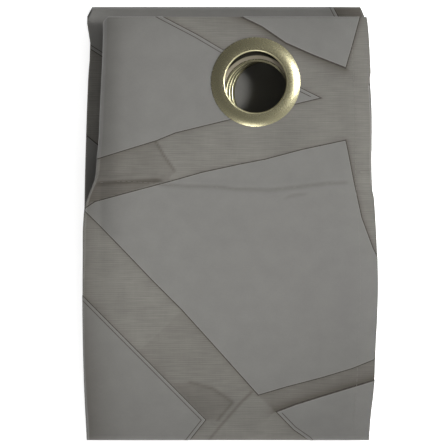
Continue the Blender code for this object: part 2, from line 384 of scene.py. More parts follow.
def cross_section(columns, leaf, y, drop, layer):
    """x and height of every column at one row of a leaf."""
    level = ply_levels(leaf, y, layer)
    fold = side_folds(leaf, y, drop, layer)
    half = {n: abs(level[n] - level[n + 1]) / 2 for n in range(1, PLEATS)}
    thin = {n: min(1.0, CLOSE_HALF_GAP / half[n]) for n in half}
    reach = {n: half[n] + LOOP_REACH * thin[n] for n in half}
    reach[0] = reach[PLEATS] = HEM_DROP / 2
    back_side = {1: np.sign(level[2] - level[1]), PLEATS: np.sign(level[PLEATS - 1] - level[PLEATS])}
    xs, zs = [], []
    for kind, index, at, *_ in columns:
        if kind == "ply":
            right_fold, left_fold = (index - 1, index) if index % 2 else (index, index - 1)
            right = fold[right_fold] - reach[right_fold]
            left = fold[left_fold] + reach[left_fold]
            x = right + (left - right) * at if index % 2 else left + (right - left) * at
            z = level[index]
        elif kind == "loop":
            side = 1 if index % 2 else -1
            x = fold[index] + side * reach[index] * (1 - math.sin(at))
            swell = half[index] + LOOP_SWELL * thin[index] * math.sin(at)
            downward = 1 if level[index] > level[index + 1] else -1
            z = (level[index] + level[index + 1]) / 2 + downward * swell * math.cos(at)
        else:
            free = 0 if index == 1 else PLEATS
            under = level[index] + back_side[index] * HEM_DROP
            if kind == "hem":
                x = fold[free] - reach[free] - (1 - at) * HEM_WIDTH
                z = under
            else:
                x = fold[free] - reach[free] * (1 - math.sin(at))
                z = (level[index] + under) / 2 + (level[index] - under) / 2 * math.cos(at)
        xs.append(x)
        zs.append(z)
    return np.array(xs), np.array(zs)


MOST_RADIUS = LEAF_PITCH - PLY_PITCH / 2
# Room that the bends keep to the plane of their fold, so that two stacks side by side stay clear.
BEND_CLEARANCE = 0.00045


def set_back(radius):
    """How far inside the pack's end the bend of a ply lies: the inner plies don't reach as far."""
    return BEND_CLEARANCE + 0.35 * np.maximum(MOST_RADIUS - radius, 0.0)


def fold_radius(z, fold):
    return np.abs(z - FOLD_Z[fold])


def leaf_row(columns, leaf, y, layer=1.0, rise=0.0):
    """Points of one row across a leaf; rise lifts the turned bottom hem off the cloth."""
    drop = drop_at(leaf, y)
    x, z = cross_section(columns, leaf, y, drop, layer)
    ys = np.full(len(x), y)
    near_end = float(ease(abs(y), FOLD_Y - 0.03, FOLD_Y))
    at_low_end = y < 0
    fold = leaf if (leaf % 2 == 1) == at_low_end else leaf - 1
    if near_end > 0 and 1 <= fold < LEAVES:
        radius = fold_radius(z, fold)
        ys = ys - math.copysign(1, y) * (set_back(radius) + radius) * near_end
    if leaf == 1:
        slipped = np.array([slip_share(*column[:3]) for column in columns])
        ys = ys - EYELET_SLIP * slipped * float(ease(y, HEADER_LOW_Y - 0.12, HEADER_LOW_Y))
    return x, ys, z + rise


def slip_share(kind, index, at):
    """The plies under the top one have slipped down a little: 0 on the top ply, 1 below."""
    if kind == "loop" and index == 1:
        return at / math.pi
    return 0.0 if index == 1 else 1.0


def bend_row(columns, fold, angle):
    """Points of one row round a cross fold: angle 0 is on the upper leaf, a half turn on the lower one."""
    end = -1 if fold % 2 else 1
    y = end * FOLD_Y
    x, z = cross_section(columns, fold, y, drop_at(fold, y), 1.0)
    radius = fold_radius(z, fold)
    ys = end * (FOLD_Y - set_back(radius) - radius * (1 - math.sin(angle)))
    return x, ys, FOLD_Z[fold] + radius * math.cos(angle)


def spaced(start, end, spacing):
    steps = max(1, round(abs(end - start) / spacing))
    return [start + (end - start) * i / steps for i in range(steps + 1)]


def header_rows(spacing):
    """Rows of the top leaf's header: up the turned-down back, over the top edge and down the front."""
    rows = [(1, y, -1.0) for y in spaced(HEADER_LOW_Y + 0.001, HEADER_TOP_Y - HALF_BAND, 0.006)]
    for step in range(1, 6):
        angle = math.pi * (1 - step / 6)
        rows.append((1, HEADER_TOP_Y - HALF_BAND * (1 - math.sin(angle)), math.cos(angle)))
    rows += [(1, y, 1.0) for y in spaced(HEADER_TOP_Y - HALF_BAND, HEADER_LOW_Y, spacing)]
    return rows


Row = namedtuple("Row", "points drop leaf front turn")


class Rows(list):
    """Rows down the cloth: points, distance down the panel, the leaf that each lies on, whether it is on the
    cloth's front, and how far it has turned from the first leaf to the next."""

    def __init__(self, columns):
        super().__init__()
        self.columns = columns

    def add(self, points, drop, leaf, front=1.0, turn=None):
        if turn is None:
            turn = leaf - self[0].leaf if self else 0
        self.append(Row(points, drop, leaf, front, turn))

    def header(self, spacing):
        for leaf, y, layer in header_rows(spacing):
            down = drop_at(1, y) if layer > 0 else -drop_at(1, y)
            self.add(leaf_row(self.columns, 1, y, layer), down, 1, layer)

    def flat(self, leaf, start, end, spacing):
        for y in spaced(start, end, spacing):
            self.add(leaf_row(self.columns, leaf, y), drop_at(leaf, y), leaf)

    def bend(self, fold, first, last, steps):
        for step in range(steps + 1):
            angle = first + (last - first) * step / steps
            y = -FOLD_Y if fold % 2 else FOLD_Y
            leaf = fold + (angle >= math.pi / 2 - 1e-6)
            self.add(bend_row(self.columns, fold, angle), drop_at(fold, y), leaf, 1.0, angle / math.pi)

    def bottom_hem(self, spacing):
        """The lower edge, turned up on the side that each ply's back is on."""
        end = HEM_END_Y - HEM_DROP / 2
        back = self.back_side()
        for angle in (math.pi / 4, math.pi / 2, math.pi * 3 / 4):
            y = end + HEM_DROP / 2 * math.sin(angle)
            rise = back * HEM_DROP / 2 * (1 - math.cos(angle))
            self.add(leaf_row(self.columns, LEAVES, y, 1.0, rise), drop_at(LEAVES, y), LEAVES, 0.0)
        for y in spaced(end, HEM_START_Y, spacing):
            down = 2 * drop_at(LEAVES, end) - drop_at(LEAVES, y)
            self.add(leaf_row(self.columns, LEAVES, y, 1.0, back * HEM_DROP), down, LEAVES, 0.0)

    def back_side(self):
        level = ply_levels(LEAVES, 0.0, 1.0)
        signs = []
        for kind, index, at, *_ in self.columns:
            behind = index + 1 if index % 2 else index - 1
            own = np.sign(level[behind] - level[index])
            if kind == "loop":
                own *= math.cos(at)
            if kind in ("hem", "turn"):
                own *= 0.4
            signs.append(own * 0.5)
        return np.array(signs)


def in_eyelet(corners, leaf, ply):
    """Whether a cell of the cloth reaches into the hole for its eyelet."""
    y = min(v.co.y for v in corners)
    if leaf != 1 or y < HEADER_LOW_Y - 0.001 or ply not in EYELETS:
        return False
    centre = EYELETS[ply]
    return any(math.hypot(v.co.x - centre[0], v.co.y - centre[1]) < CLOTH_HOLE_RADIUS for v in corners)


def cloth_bmesh(rows):
    """The grid of a piece of cloth, with each vertex's place on the flat panel and each face's leaf."""
    columns = rows.columns
    bm = bmesh.new()
    place = bm.verts.layers.float_vector.new("place")
    bm.verts.layers.float.new("shade")
    turned = bm.verts.layers.float.new("turn")
    leaf_tag = bm.faces.layers.int.new("leaf")
    ply_tag = bm.faces.layers.int.new("ply")
    grid = []
    for row in rows:
        line = []
        for *point, column in zip(*row.points, columns):
            vertex = bm.verts.new(point)
            vertex[place] = (column.across, row.drop, max(row.front, 0.0) if column.kind == "ply" else 0.0)
            vertex[turned] = row.turn
            line.append(vertex)
        grid.append(line)
    for r, (row, next_row) in enumerate(zip(rows, rows[1:])):
        for c, (column, next_column) in enumerate(zip(columns, columns[1:])):
            corners = (grid[r][c], grid[r][c + 1], grid[r + 1][c + 1], grid[r + 1][c])
            kinds = (column.kind, next_column.kind)
            if kinds == ("ply", "ply") and in_eyelet(corners, row.leaf, column.index):
                continue
            face = bm.faces.new(corners)
            face[leaf_tag] = next_row.leaf
            faced = row.front > 0 and next_row.front > 0 and "hem" not in kinds
            face[ply_tag] = column.ply_number if faced else 0
            face.smooth = True
    bmesh.ops.delete(bm, geom=[v for v in bm.verts if not v.link_faces], context="VERTS")
    return bm


# The woven blocks on the cloth -------------------------------------------------------------------

# Distances inside a block's side between which its line is dark, in pairs, and where its cord is lighter:
# partly a lighter cord and partly a painted highlight on its raised side.
DARK_BANDS = {"s": (0.0, 0.7), "d": (0.0, 0.6, 2.3, 2.8), "h": (0.0, 1.0), "w": (0.0, 0.6)}
CORD_AND_HIGHLIGHT_BANDS = {"s": (0.7, 1.2), "d": (0.6, 1.1), "h": (1.0, 1.7), "w": (0.6, 1.1)}
# Painted shadow on the ground right beside a side: how dark it is, and how far that reaches.
PAINTED_SIDE_SHADOWS = {"s": (0.28, 1.6), "d": (0.30, 1.6), "h": (0.95, 3.4), "w": (0.80, 1.4)}
SIDE_RIDGES = {"s": 0.16, "d": 0.16, "h": 0.26, "w": 0.20}
BLOCK_RISE = 0.10
# A vertex this near a side lies on it.
ON_LINE = 0.00003
CELL = 0.012


class FaceCells:
    """Faces of a mesh by where they lie, so that a cut only looks at those near it."""

    def __init__(self, bm, tag, ply):
        self.cells = {}
        for face in bm.faces:
            if face[tag] == ply:
                self.add(face)

    def add(self, face):
        centre = face.calc_center_median()
        key = (math.floor(centre.x / CELL), math.floor(centre.y / CELL))
        self.cells.setdefault(key, {})[face] = None

    def near(self, start, end, reach):
        along = end - start
        length = max(along.length, 1e-9)
        along = along / length
        keys = {}
        for step in range(int(length / (CELL / 2)) + 2):
            p = start + along * min(step * CELL / 2, length)
            i, j = math.floor(p.x / CELL), math.floor(p.y / CELL)
            keys.update({(i + a, j + b): None for a in (-1, 0, 1) for b in (-1, 0, 1)})
        found = {}
        for key in keys:
            kept = {f: None for f in self.cells.get(key, ()) if f.is_valid}
            self.cells[key] = kept
            for face in kept:
                centre = face.calc_center_median().xy
                t = min(max((centre - start).dot(along), 0.0), length)
                if (centre - start - along * t).length < reach:
                    found[face] = None
        return list(found)


def cut_near(bm, cells, start, end, reach):
    """Cuts the faces near a line, straight down through the cloth, so that the line becomes edges."""
    near = cells.near(start, end, reach)
    if not near or (end - start).length < 1e-7:
        return
    edges = list(dict.fromkeys(e for f in near for e in f.edges))
    verts = list(dict.fromkeys(v for f in near for v in f.verts))
    normal = Vector((start.y - end.y, end.x - start.x, 0.0)).normalized()
    made = bmesh.ops.bisect_plane(
        bm, geom=near + edges + verts, dist=1e-6, plane_co=start.to_3d(), plane_no=normal)
    for item in made["geom"]:
        if isinstance(item, bmesh.types.BMFace):
            cells.add(item)


def in_metres(corners):
    return tuple((corner[0] * MM, corner[1] * MM) for corner in corners)


def turn_of(outline):
    """1 for an outline that runs anticlockwise and -1 for the other way round."""
    area = sum(a[0] * b[1] - b[0] * a[1] for a, b in zip(outline, outline[1:] + outline[:1]))
    return 1 if area > 0 else -1


def moved_inward(a, b, turn, distance):
    """A side of an outline moved inward by a distance, and made a little longer at both ends."""
    dx, dy = b[0] - a[0], b[1] - a[1]
    length = math.hypot(dx, dy)
    ux, uy = dx / length, dy / length
    nx, ny = -uy * turn * distance, ux * turn * distance
    more = 0.0006
    return ((a[0] + nx - ux * more, a[1] + ny - uy * more), (b[0] + nx + ux * more, b[1] + ny + uy * more))


def nearest_side(outline, xs, drops):
    """For many points: distance inside an outline, negative outside it, and number of the nearest side."""
    px, py = np.asarray(xs), np.asarray(drops)
    inside = np.zeros(len(px), bool)
    nearest = np.full(len(px), 1e9)
    side = np.zeros(len(px), int)
    for number, (a, b) in enumerate(zip(outline, outline[1:] + outline[:1])):
        (ax, ay), (bx, by) = a, b
        crosses = (ay > py) != (by > py)
        with np.errstate(divide="ignore", invalid="ignore"):
            at = (bx - ax) * (py - ay) / (by - ay) + ax
        inside ^= crosses & (px < at)
        dx, dy = bx - ax, by - ay
        t = np.clip(((px - ax) * dx + (py - ay) * dy) / (dx * dx + dy * dy), 0, 1)
        gap = np.hypot(px - ax - t * dx, py - ay - t * dy)
        side = np.where(gap < nearest, number, side)
        nearest = np.minimum(nearest, gap)
    return np.where(inside, nearest, -nearest), side


def weave_blocks(bm, pattern, ply, reach):
    """Cuts the blocks of a pattern into one ply, marks their faces and lifts them by their relief."""
    place = bm.verts.layers.float_vector["place"]
    leaves = sorted({f[bm.faces.layers.int["leaf"]] for f in bm.faces})
    drops = [v[place].y for v in bm.verts]
    low, high = min(drops), max(drops)
    cells = FaceCells(bm, bm.faces.layers.int["ply"], ply)
    used = []
    for block in pattern:
        outline = in_metres(block)
        styles = [corner[2] for corner in block]
        reaches = [d for _, d in outline]
        if min(reaches) > high + 0.01 or max(reaches) < low - 0.01:
            continue
        used.append((outline, styles))
        turn = turn_of(outline)
        for a, b, style in zip(outline, outline[1:] + outline[:1], styles):
            for band in sorted({*DARK_BANDS[style], *CORD_AND_HIGHLIGHT_BANDS[style]}):
                (ax, ad), (bx, bd) = moved_inward(a, b, turn, band * MM)
                for leaf in leaves:
                    first, last = clip_to_leaf(Vector((ax, y_at(leaf, ad))), Vector((bx, y_at(leaf, bd))))
                    if first is not None:
                        cut_near(bm, cells, first, last, reach)
    mark_blocks(bm, used, ply)


def clip_to_leaf(start, end):
    """The stretch of a line that lies on a leaf, or nothing."""
    limit = FOLD_Y + 0.002
    t0, t1 = 0.0, 1.0
    for bound, sign in ((limit, 1), (-limit, -1)):
        a = sign * (start.y - bound)
        b = sign * (end.y - bound)
        if a > 0 and b > 0:
            return None, None
        if a > 0:
            t0 = max(t0, a / (a - b))
        elif b > 0:
            t1 = min(t1, a / (a - b))
    if t0 >= t1:
        return None, None
    return start.lerp(end, t0), start.lerp(end, t1)


def by_style(table, styles, side, column=None):
    """The value in a table of each point's nearest side."""
    values = [table[style] if column is None else table[style][column] for style in styles]
    return np.array(values)[side] * MM


def mark_blocks(bm, used, ply):
    """Gives the blocks' faces their materials, raises the blocks and paints shadow on the ground beside
    them.
    """
    leaf_tag = bm.faces.layers.int["leaf"]
    ply_tag = bm.faces.layers.int["ply"]
    shade = bm.verts.layers.float["shade"]
    faces = [f for f in bm.faces if f[ply_tag] == ply]
    centres = [f.calc_center_median() for f in faces]
    xs = np.array([c.x for c in centres])
    drops = np.array([drop_at(f[leaf_tag], c.y) for f, c in zip(faces, centres)])
    verts = list(dict.fromkeys(v for f in faces for v in f.verts))
    bm.normal_update()
    vx = np.array([v.co.x for v in verts])
    vd = np.array([drop_at(v.link_faces[0][leaf_tag], v.co.y) for v in verts])
    index = np.zeros(len(faces), int)
    lift = np.zeros(len(verts))
    dark = np.zeros(len(verts))
    for outline, styles in used:
        depth, side = nearest_side(outline, xs, drops)
        index[depth > 0] = 1
        # Material 2 is the dark line, and material 3 is the lighter cord, which partly paints a highlight.
        for table, material in ((DARK_BANDS, 2), (CORD_AND_HIGHLIGHT_BANDS, 3)):
            for number, style in enumerate(styles):
                bands = [b * MM for b in table[style]]
                for low, high in zip(bands[::2], bands[1::2]):
                    index[(side == number) & (depth > low) & (depth < high)] = material
        own, side = nearest_side(outline, vx, vd)
        ridge = by_style(SIDE_RIDGES, styles, side)
        width = by_style(CORD_AND_HIGHLIGHT_BANDS, styles, side, 1)
        fall = ease(own, width, width + 0.0025) * (ridge - BLOCK_RISE * MM)
        rise = ease(own, 0, 0.5 * width) * ridge - fall
        lift = np.maximum(lift, np.where(own > 0, rise, 0))
        # Painted shadow on the ground beside each block, darkest right at its side and fading outward.
        strength = by_style(PAINTED_SIDE_SHADOWS, styles, side, 0) / MM
        spread = by_style(PAINTED_SIDE_SHADOWS, styles, side, 1)
        # Ground is marked 0 or more, and a vertex inside any block is marked -1 for good.
        outer = np.where(own <= ON_LINE, strength * np.exp(np.minimum(own, 0) / spread), -1.0)
        dark = np.where(outer < 0, -1.0, np.maximum(dark, outer) * (dark >= 0) - (dark < 0))
    for face, kind in zip(faces, index):
        face.material_index = int(kind)
    for vertex, height, depth in zip(verts, lift, dark):
        vertex.co += vertex.normal * float(height)
        vertex[shade] = max(float(depth), 0.0)


def shade_ground(bm, veils, lines):
    """Darkens the top ply where a second thickness of ground shows through, and along the edges of that."""
    place = bm.verts.layers.float_vector["place"]
    shade = bm.verts.layers.float["shade"]
    leaf_tag = bm.faces.layers.int["leaf"]
    ground = [v for v in bm.verts if any(f.material_index == 0 for f in v.link_faces) and v[place].z > 0]
    xs = np.array([v.co.x for v in ground])
    drops = np.array([drop_at(v.link_faces[0][leaf_tag], v.co.y) for v in ground])
    extra = np.zeros(len(ground))
    for amount, outline in veils:
        depth, _ = nearest_side(in_metres(outline), xs, drops)
        extra += amount * ease(depth, -0.0006, 0.0006)
    for amount, line in lines:
        points = in_metres(line)
        there_and_back = points + points[-2:0:-1]
        gap, _ = nearest_side(there_and_back, xs, drops)
        extra += amount * np.exp(-(gap / 0.0009) ** 2)
    for vertex, more in zip(ground, extra):
        vertex[shade] = min(vertex[shade] + float(more), 1.0)


# How the cloth lies ------------------------------------------------------------------------------


def header_sag(x, y):
    """Share of height that the header loses past the stack of eyelets: most at the left."""
    left = np.clip((-0.050 - x) / 0.034, 0, 1.3) ** 2 * 0.07
    left += np.clip((-0.069 - x) / 0.013, 0, 1.2) ** 2 * 0.055
    right = np.clip((x - 0.062) / 0.030, 0, 1) ** 2 * 0.05
    top = np.clip((y - 0.116) / 0.020, 0, 1) ** 2 * 0.05
    below = np.clip((0.068 - y) / 0.043, 0, 1) ** 2 * 0.13
    low_part = 1 - ease(-y, -0.02, 0.10)
    return (left + right) * ease(y, -0.09, 0.02) + top + below * low_part


def pack_wave(x, y):
    """Slow waves over the pack, still at its ends and under the stiff header."""
    wave = 0.45 * np.sin(31 * x + 17 * y + 0.6) * np.sin(23 * y - 11 * x + 1.1)
    wave += 0.30 * np.sin(57 * x - 35 * y + 2.0) * np.sin(49 * y + 21 * x)
    window = np.clip(1 - (np.abs(y) / 0.139) ** 4, 0, 1) * (1 - 0.85 * ease(y, 0.0, 0.04))
    return wave * window * MM


def side_distance(x, y, outline):
    """Distance from an outline of the pack, straight across."""
    ys, xs = np.array(outline).T * MM
    return np.abs(x - np.interp(y, ys, xs))


def shoulder(x, y):
    """Share of height lost near the side folds, where the pack is rounder."""
    near = np.minimum(side_distance(x, y, PACK_LEFT), side_distance(x, y, PACK_RIGHT))
    return 0.085 * np.clip(1 - near / 0.022, 0, 1) ** 2


# Creases of the header: depth, width and crest in millimetres, how much painted shade lies in them, and
# their lines.
WRINKLES = (
    (1.10, 1.2, 0.9, 0.75, ((-92, 26.4), (-66, 27.6), (-43, 28.8))),
    (0.75, 1.1, 0.35, 0.42, ((-50, 25.5), (-30, 24.6), (-10, 24.2), (3, 22.6), (26, 22), (46, 24.4),
                             (63, 26.4), (80, 27.2))),
    (0.55, 1.0, 0.25, 0.35, ((33, 14.6), (35.5, 16.4), (39.5, 18.1), (45, 19), (53, 19.9))),
    (0.70, 0.9, 0.7, 0.8, ((82.0, 33.4), (88, 33.9), (97, 33.9))),
)

seam_line = smooth_line((
    (-92, 26.4), (-66, 27.6), (-50, 26.4), (-30, 24.6), (-10, 24.0), (3, 22.6), (26, 22), (46, 24.4),
    (63, 26.4), (80, 27.2), (97, 27.6)))


def wrinkle_profiles(x, y):
    """For each wrinkle: depth, crest and painted shade, distance above its line in widths, and strength
    along it.
    """
    for depth, width, crest, shade, line in WRINKLES:
        px, py = np.array(line).T * MM
        off = (y - np.interp(x, px, py)) / (width * MM)
        fade = ease(x, px[0], px[0] + 0.006) * (1 - ease(x, px[-1] - 0.006, px[-1]))
        yield depth, crest, shade, off, fade


def wrinkle_height(x, y):
    """How far the creases along and under the header's lower seam move the top ply."""
    total = np.zeros(len(x))
    for depth, crest, _, off, fade in wrinkle_profiles(x, y):
        crease = -depth * np.exp(-off ** 2) + crest * np.exp(-((off - 2.2) / 1.4) ** 2)
        total += crease * fade * MM
    return total


def painted_crease_shade(x, y):
    """Painted shade in the bottom of each crease."""
    total = np.zeros(len(x))
    for _, _, shade, off, fade in wrinkle_profiles(x, y):
        total += shade * np.exp(-off ** 2) * fade
    return total


def painted_left_shade(x, y):
    """Painted shade on the top ply towards its left side, where it turns away from the light."""
    from_side = side_distance(x, y, FLAP_LEFT)
    low_end = ease(-y, 0.02, 0.11)
    broad = (0.42 + 0.38 * low_end) * np.exp(-from_side / (0.0085 + 0.009 * low_end))
    return broad + 0.30 * np.exp(-from_side / 0.0012)


# The lowest cloth stays this far above the floor.
FLOOR_CLEARANCE = 0.00001


def values_of(items, name, width=1):
    """One property of many vertices, as an array."""
    values = np.empty(len(items) * width)
    items.foreach_get(name, values)
    return values.reshape(-1, width) if width > 1 else values


def settle(obj):
    """Lays the finished mesh: the header sags past the eyelets and the pack waves a little, and on the top
    ply it adds painted shade in the creases and towards the left side.
    """
    mesh = obj.data
    co = values_of(mesh.vertices, "co", 3)
    x, y, z = co[:, 0], co[:, 1], co[:, 2].copy()
    on_top = z > TOP_LEAF_BASE + 0.5 * LEAF_PITCH
    above = np.maximum(z - TOP_LEAF_BASE, 0)
    z -= above * header_sag(x, y) * (z > TOP_LEAF_BASE)
    z += pack_wave(x, y) * np.clip(z / (TOP_LEAF_BASE + LEAF_PITCH), 0, 1)
    z -= np.clip(z, 0, TOP_LEAF_BASE + LEAF_PITCH) * shoulder(x, y)
    if "front_weight" in mesh.attributes:
        weight = values_of(mesh.attributes["front_weight"].data, "value")
        z += wrinkle_height(x, y) * weight
        shade = values_of(mesh.attributes["shade"].data, "value")
        # Painted shade on the top ply: in the bottom of the creases and towards its left side.
        shade += (painted_crease_shade(x, y) + painted_left_shade(x, y)) * weight * on_top
        mesh.attributes["shade"].data.foreach_set("value", np.minimum(shade, 1))
    co[:, 2] = np.maximum(z, FLOOR_CLEARANCE)
    mesh.vertices.foreach_set("co", co.ravel())
    mesh.update()


def front_surface(x, y):
    """Height of the top ply's face, as settled."""
    level = ply_levels(1, y, 1.0)[1]
    xs, ys = np.array([x]), np.array([y])
    level -= (level - TOP_LEAF_BASE) * float(header_sag(xs, ys)[0])
    level += float(pack_wave(xs, ys)[0]) * min(level / (TOP_LEAF_BASE + LEAF_PITCH), 1.0)
    level -= min(level, TOP_LEAF_BASE + LEAF_PITCH) * float(shoulder(xs, ys)[0])
    return level + float(wrinkle_height(xs, ys)[0])


def mesh_of(name, bm):
    mesh = bpy.data.meshes.new(name)
    bm.to_mesh(mesh)
    bm.free()
    return mesh


def add_object(name, data, materials=()):
    """Puts a mesh, a light or a camera in the scene."""
    for material in materials:
        data.materials.append(material)
    obj = bpy.data.objects.new(name, data)
    bpy.context.scene.collection.objects.link(obj)
    return obj


def finish_cloth(name, bm, materials, faces_up=False):
    """Makes the object of a piece of cloth, and keeps each vertex's place on the flat panel.

    faces_up is for the top ply, whose mesh also keeps how far each vertex takes part in the wrinkles.
    """
    place = bm.verts.layers.float_vector["place"]
    places = [v[place].copy() for v in bm.verts]
    mesh = mesh_of(name, bm)
    for stale in ("place", "leaf", "ply"):
        mesh.attributes.remove(mesh.attributes[stale])
    flat = mesh.attributes.new("cloth_place", "FLOAT_VECTOR", "POINT")
    flat.data.foreach_set("vector", [c for p in places for c in (p.x, p.y, 0.0)])
    if faces_up:
        weight = mesh.attributes.new("front_weight", "FLOAT", "POINT")
        weight.data.foreach_set("value", [p.z for p in places])
    return add_object(name, mesh, materials)


def blend_over(obj, fold):
    """Bends an outer ply between the two leaves of its fold, by how far each row has turned."""
    mesh = obj.data
    shape = values_of(mesh.vertices, "co", 3)
    unrolled = np.zeros_like(shape)
    unrolled[:, 2] = values_of(mesh.attributes["turn"].data, "value")
    mesh.attributes.remove(mesh.attributes["turn"])
    mesh.vertices.foreach_set("co", unrolled.ravel())
    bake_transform(obj, f"leaf_{fold}", f"leaf_{fold + 1}", (0.0, 0.0, 0.0), (0.0, 0.0, 1.0))
    mesh.vertices.foreach_set("co", shape.ravel())
    mesh.update()


def ply_rows(columns, fold, fine, coarse):
    """Rows of an outer ply from the middle of one leaf, round a fold, to the middle of the next."""
    rows = Rows(columns)
    end = -FOLD_Y if fold % 2 else FOLD_Y
    if fold == 1:
        rows.header(fine)
        rows.flat(1, HEADER_LOW_Y - fine, end, fine)
    else:
        rows.flat(fold, 0.0, end, coarse)
    rows.bend(fold, LOOP_START, LOOP_END, 8)
    if fold == LEAVES - 1:
        rows.flat(fold + 1, end, HEM_END_Y - HEM_DROP / 2, coarse)
        rows.bottom_hem(coarse)
    else:
        rows.flat(fold + 1, end, 0.0, coarse)
    return rows


# Materials ---------------------------------------------------------------------------------------


class Shading:
    """Adds nodes to a tree. Each input takes a number or a colour, or the output of another node."""

    def __init__(self, tree):
        self.nodes, self.links = tree.nodes, tree.links

    def add(self, kind, inputs, **properties):
        node = self.nodes.new("ShaderNode" + kind)
        for name, value in properties.items():
            setattr(node, name, value)
        self.fill(node, inputs)
        return node

    def fill(self, node, inputs):
        for name, value in inputs.items():
            if isinstance(value, bpy.types.NodeSocket):
                self.links.new(value, node.inputs[name])
            else:
                node.inputs[name].default_value = value

    def threads(self, place, across, down, detail=2.0):
        """Streaky noise with its own density across and down the cloth, in streaks per metre."""
        mapping = self.add("Mapping", {"Scale": (across, down, 1.0), "Vector": place})
        noise = self.add("TexNoise", {"Scale": 1.0, "Detail": detail, "Vector": mapping.outputs["Vector"]})
        return noise.outputs["Fac"]

    def weft_lines(self, place, pitch):
        """Even lines across the cloth, at a pitch in metres, that waver a little."""
        inputs = {"Scale": math.pi / 10 / pitch, "Distortion": 2.2, "Detail": 2.0, "Detail Scale": 0.35}
        return self.add("TexWave", inputs | {"Vector": place}, bands_direction="Y").outputs["Fac"]

    def mix(self, first, second, share, **properties):
        return self.add("Mix", {"Factor": share, "A": first, "B": second}, **properties).outputs["Result"]

    def multiply(self, first, second, share):
        return self.mix(first, second, share, data_type="RGBA", blend_type="MULTIPLY")

    def tone_ramp(self, value, colour, contrast):
        """A colour that goes from darker to lighter with a noise value."""
        ramp = self.add("ValToRGB", {"Fac": value})
        tones = ((0.30, 1 - contrast), (0.70, 1 + contrast))
        for element, (position, share) in zip(ramp.color_ramp.elements, tones):
            element.position = position
            element.color = (*scaled(colour, share), 1)
        return ramp.outputs["Color"]

    def relief(self, height, strength, distance):
        bump = self.add("Bump", {"Height": height, "Strength": strength, "Distance": distance})
        return bump.outputs["Normal"]


WHITE = (1.0, 1.0, 1.0)
# The colour that the shade attribute multiplies in, where the ground lies double and where shade and shadow
# are painted.
SHADE_TINT = (0.50, 0.465, 0.43, 1)


def scaled(colour, share):
    return tuple(c * share for c in colour)


def start_material(name):
    material = bpy.data.materials.new(name)
    material.use_nodes = True
    return material, Shading(material.node_tree), material.node_tree.nodes["Principled BSDF"]


def woven_material(name, colour, weave, mottle, bump, roughness):
    """A woven cloth: warp and weft, slow colour variation, darkening where it lies double and where shade
    and shadow are painted, and thread relief.

    weave is (threads per metre, slubs per metre, share of the weft, pitch of its lines, share of the lines,
    contrast) and mottle is (patches per metre, contrast).
    """
    material, shading, shader = start_material(name)
    place = shading.add("Attribute", {}, attribute_name="cloth_place").outputs["Vector"]
    shade = shading.add("Attribute", {}, attribute_name="shade").outputs["Fac"]
    count, slub, weft_share, pitch, line_share, contrast = weave
    warp, weft = shading.threads(place, count, slub), shading.threads(place, slub, count)
    cross = shading.mix(warp, weft, weft_share)
    cross = shading.mix(cross, shading.weft_lines(place, pitch), line_share)
    slow = shading.threads(place, mottle[0], mottle[0], 3.0)
    tones = shading.tone_ramp(cross, colour, contrast), shading.tone_ramp(slow, WHITE, mottle[1])
    shading.fill(shader, {
        "Base Color": shading.multiply(shading.multiply(*tones, 1.0), SHADE_TINT, shade),
        "Normal": shading.relief(cross, bump, 0.0002),
        "Roughness": roughness,
        "Sheen Weight": 0.12,
        "Specular IOR Level": 0.3,
    })
    return material


def metal_material(name, colour, roughness, wear):
    """Satin plated metal with fine uneven polish."""
    material, shading, shader = start_material(name)
    place = shading.add("TexCoord", {}).outputs["Object"]
    noise = shading.add("TexNoise", {"Scale": 900.0, "Detail": 3.0, "Vector": place}).outputs["Fac"]
    polish = shading.add("MapRange", {
        "Value": noise, "To Min": roughness - wear, "To Max": roughness + wear})
    shading.fill(shader, {
        "Base Color": (*colour, 1),
        "Normal": shading.relief(noise, 0.02, 0.0001),
        "Roughness": polish.outputs["Result"],
        "Metallic": 1.0,
    })
    return material


def plain_material(name, colour, roughness, glow=0.0):
    material, shading, shader = start_material(name)
    shading.fill(shader, {
        "Base Color": (*colour, 1), "Roughness": roughness,
        "Emission Color": (*WHITE, 1), "Emission Strength": glow})
    return material


def cloth_materials(settings):
    """Ground, block, block edge and edge cord with its painted highlight, made once and shared by all the
    cloth.
    """
    ground, block, edge = (
        tuple(colour) for colour in (settings.ground_colour, settings.block_colour, settings.edge_colour))
    kinds = (
        ("sheer_ground", ground, (900, 70, 0.80, 0.00140, 0.15, 0.12), (45, 0.10), 0.6, 0.85),
        ("woven_block", block, (1600, 400, 0.58, 0.00070, 0.20, 0.035), (80, 0.045), 0.35, 0.62),
        ("block_edge", edge, (1500, 500, 0.58, 0.00070, 0.2, 0.20), (200, 0.15), 0.4, 0.9),
        # The edge cord is lighter than the block, partly as a painted highlight on its raised side.
        ("edge_cord_painted_highlight", scaled(block, 1.18), (1500, 500, 0.58, 0.00070, 0.2, 0.10), (200, 0.05), 0.4, 0.7),
    )
    return [bpy.data.materials.get(kind[0]) or woven_material(*kind) for kind in kinds]


# Sizes and colours that a user may change --------------------------------------------------------


def length(name, description, default, least):
    return FloatProperty(name=name, description=description, default=default, min=least, unit="LENGTH")


def power(name, description, default):
    return FloatProperty(name=name, description=description, default=default, min=0, unit="POWER")


def colour(name, description, default):
    return FloatVectorProperty(
        name=name, description=description, subtype="COLOR", size=3, default=default, min=0, max=1)


def width_of(node):
    low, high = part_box(node)
    return high.x - low.x


